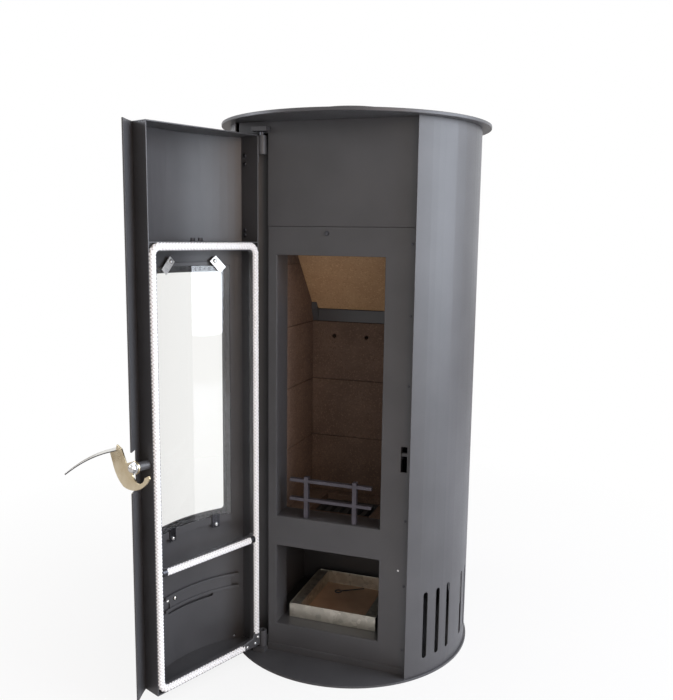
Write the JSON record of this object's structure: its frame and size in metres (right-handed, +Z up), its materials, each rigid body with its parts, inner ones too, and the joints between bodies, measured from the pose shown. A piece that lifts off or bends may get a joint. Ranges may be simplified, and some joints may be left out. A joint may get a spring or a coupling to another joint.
{
  "type": "wood stove",
  "caption": "Round free-standing steel wood stove with a tall curved glass door swung open, brick-lined firebox, ash pan and top flue collar.",
  "frame": {"origin": "centre of the round casing at floor level", "axes": "+Z up, -Y towards the front with the door, +X to the viewer's right"},
  "size_m": [0.6244, 0.6878, 1.025],
  "materials": {
    "stove_paint": "satin heat-resistant anthracite paint",
    "bare_steel": "bare or polished steel",
    "zinc_plate": "yellow zinc plate",
    "firebrick": "matte firebrick",
    "vermiculite": "matte vermiculite board",
    "rope": "braided glass-fibre",
    "glass": "clear ceramic glass",
    "cast_iron": "rough cast iron"
  },
  "bodies": {
    "stove": {"base_plate": "stove_paint", "outer_casing": "stove_paint", "top_plate": "stove_paint", "front_panel": "stove_paint", "upper_front_panel": "stove_paint", "sill_strip": "stove_paint", "panel_rivets": "bare_steel", "striker": "bare_steel", "firebox_neck": "stove_paint", "ash_neck": "stove_paint", "body_front_wall": "stove_paint", "body_side_left": "stove_paint", "body_side_right": "stove_paint", "body_back_plate": "stove_paint", "body_top_plate": "stove_paint", "body_floor_plate": "stove_paint", "body_supports": "stove_paint", "grate_shelf": "stove_paint", "grate": "cast_iron", "floor_bricks": "firebrick", "side_bricks_left": "firebrick", "side_bricks_right": "firebrick", "back_bricks": "firebrick", "rear_ledge": "stove_paint", "baffle_plate": "vermiculite", "baffle_bar": "stove_paint", "air_box": "stove_paint", "heat_shield": "stove_paint", "shield_standoffs": "stove_paint", "air_inlet_spigot": "stove_paint", "flue_duct": "stove_paint", "flue_collar": "stove_paint", "guard_pegs": "bare_steel", "lower_hinge_plate": "stove_paint", "upper_hinge_plate": "stove_paint", "hinge_pins": "bare_steel"},
    "door": {"hinge_knuckles": "stove_paint", "door_skin": "stove_paint", "door_wall_hinge_side": "stove_paint", "door_wall_free_side": "stove_paint", "door_caps": "stove_paint", "door_partition": "stove_paint", "gasket_channel": "stove_paint", "door_rope": "rope", "cross_rope": "rope", "window_glass": "glass", "glass_tape": "rope", "glass_retainer": "stove_paint", "glass_clips": "bare_steel", "air_wash_bar": "stove_paint", "door_screws": "bare_steel", "slider_rails": "stove_paint", "latch_stud": "bare_steel"},
    "slider": {"air_slider": "stove_paint", "air_knob": "bare_steel"},
    "latch": {"latch_hook": "zinc_plate", "latch_handle": "bare_steel"},
    "pan": {"ash_pan": "bare_steel"},
    "guard": {"log_guard": "bare_steel"}
  },
  "joints": [
    {"name": "door_hinge", "type": "hinge", "parent": "stove", "child": "door", "pos_m": [-0.121, -0.164, 0], "axis": [0, 0, -1], "range_deg": [-112, 4]},
    {"name": "latch_pivot", "type": "hinge", "parent": "door", "child": "latch", "pos_m": [-0.23216, -0.40975, 0.424], "axis": [0.3746, 0.9272, 0], "range_deg": [0, 40]},
    {"name": "air_slider_turn", "type": "hinge", "parent": "door", "child": "slider", "pos_m": [-0.01427, -0.33763, 0.14], "axis": [0, 0, 1], "range_deg": [-3.3, 3.3]},
    {"name": "ash_pan_slide", "type": "slide", "parent": "stove", "child": "pan", "axis": [0, -1, 0], "range_m": [0, 0.21]},
    {"name": "log_guard_lift", "type": "slide", "parent": "stove", "child": "guard", "axis": [0, 0, 1], "range_m": [0, 0.03]}
  ]
}
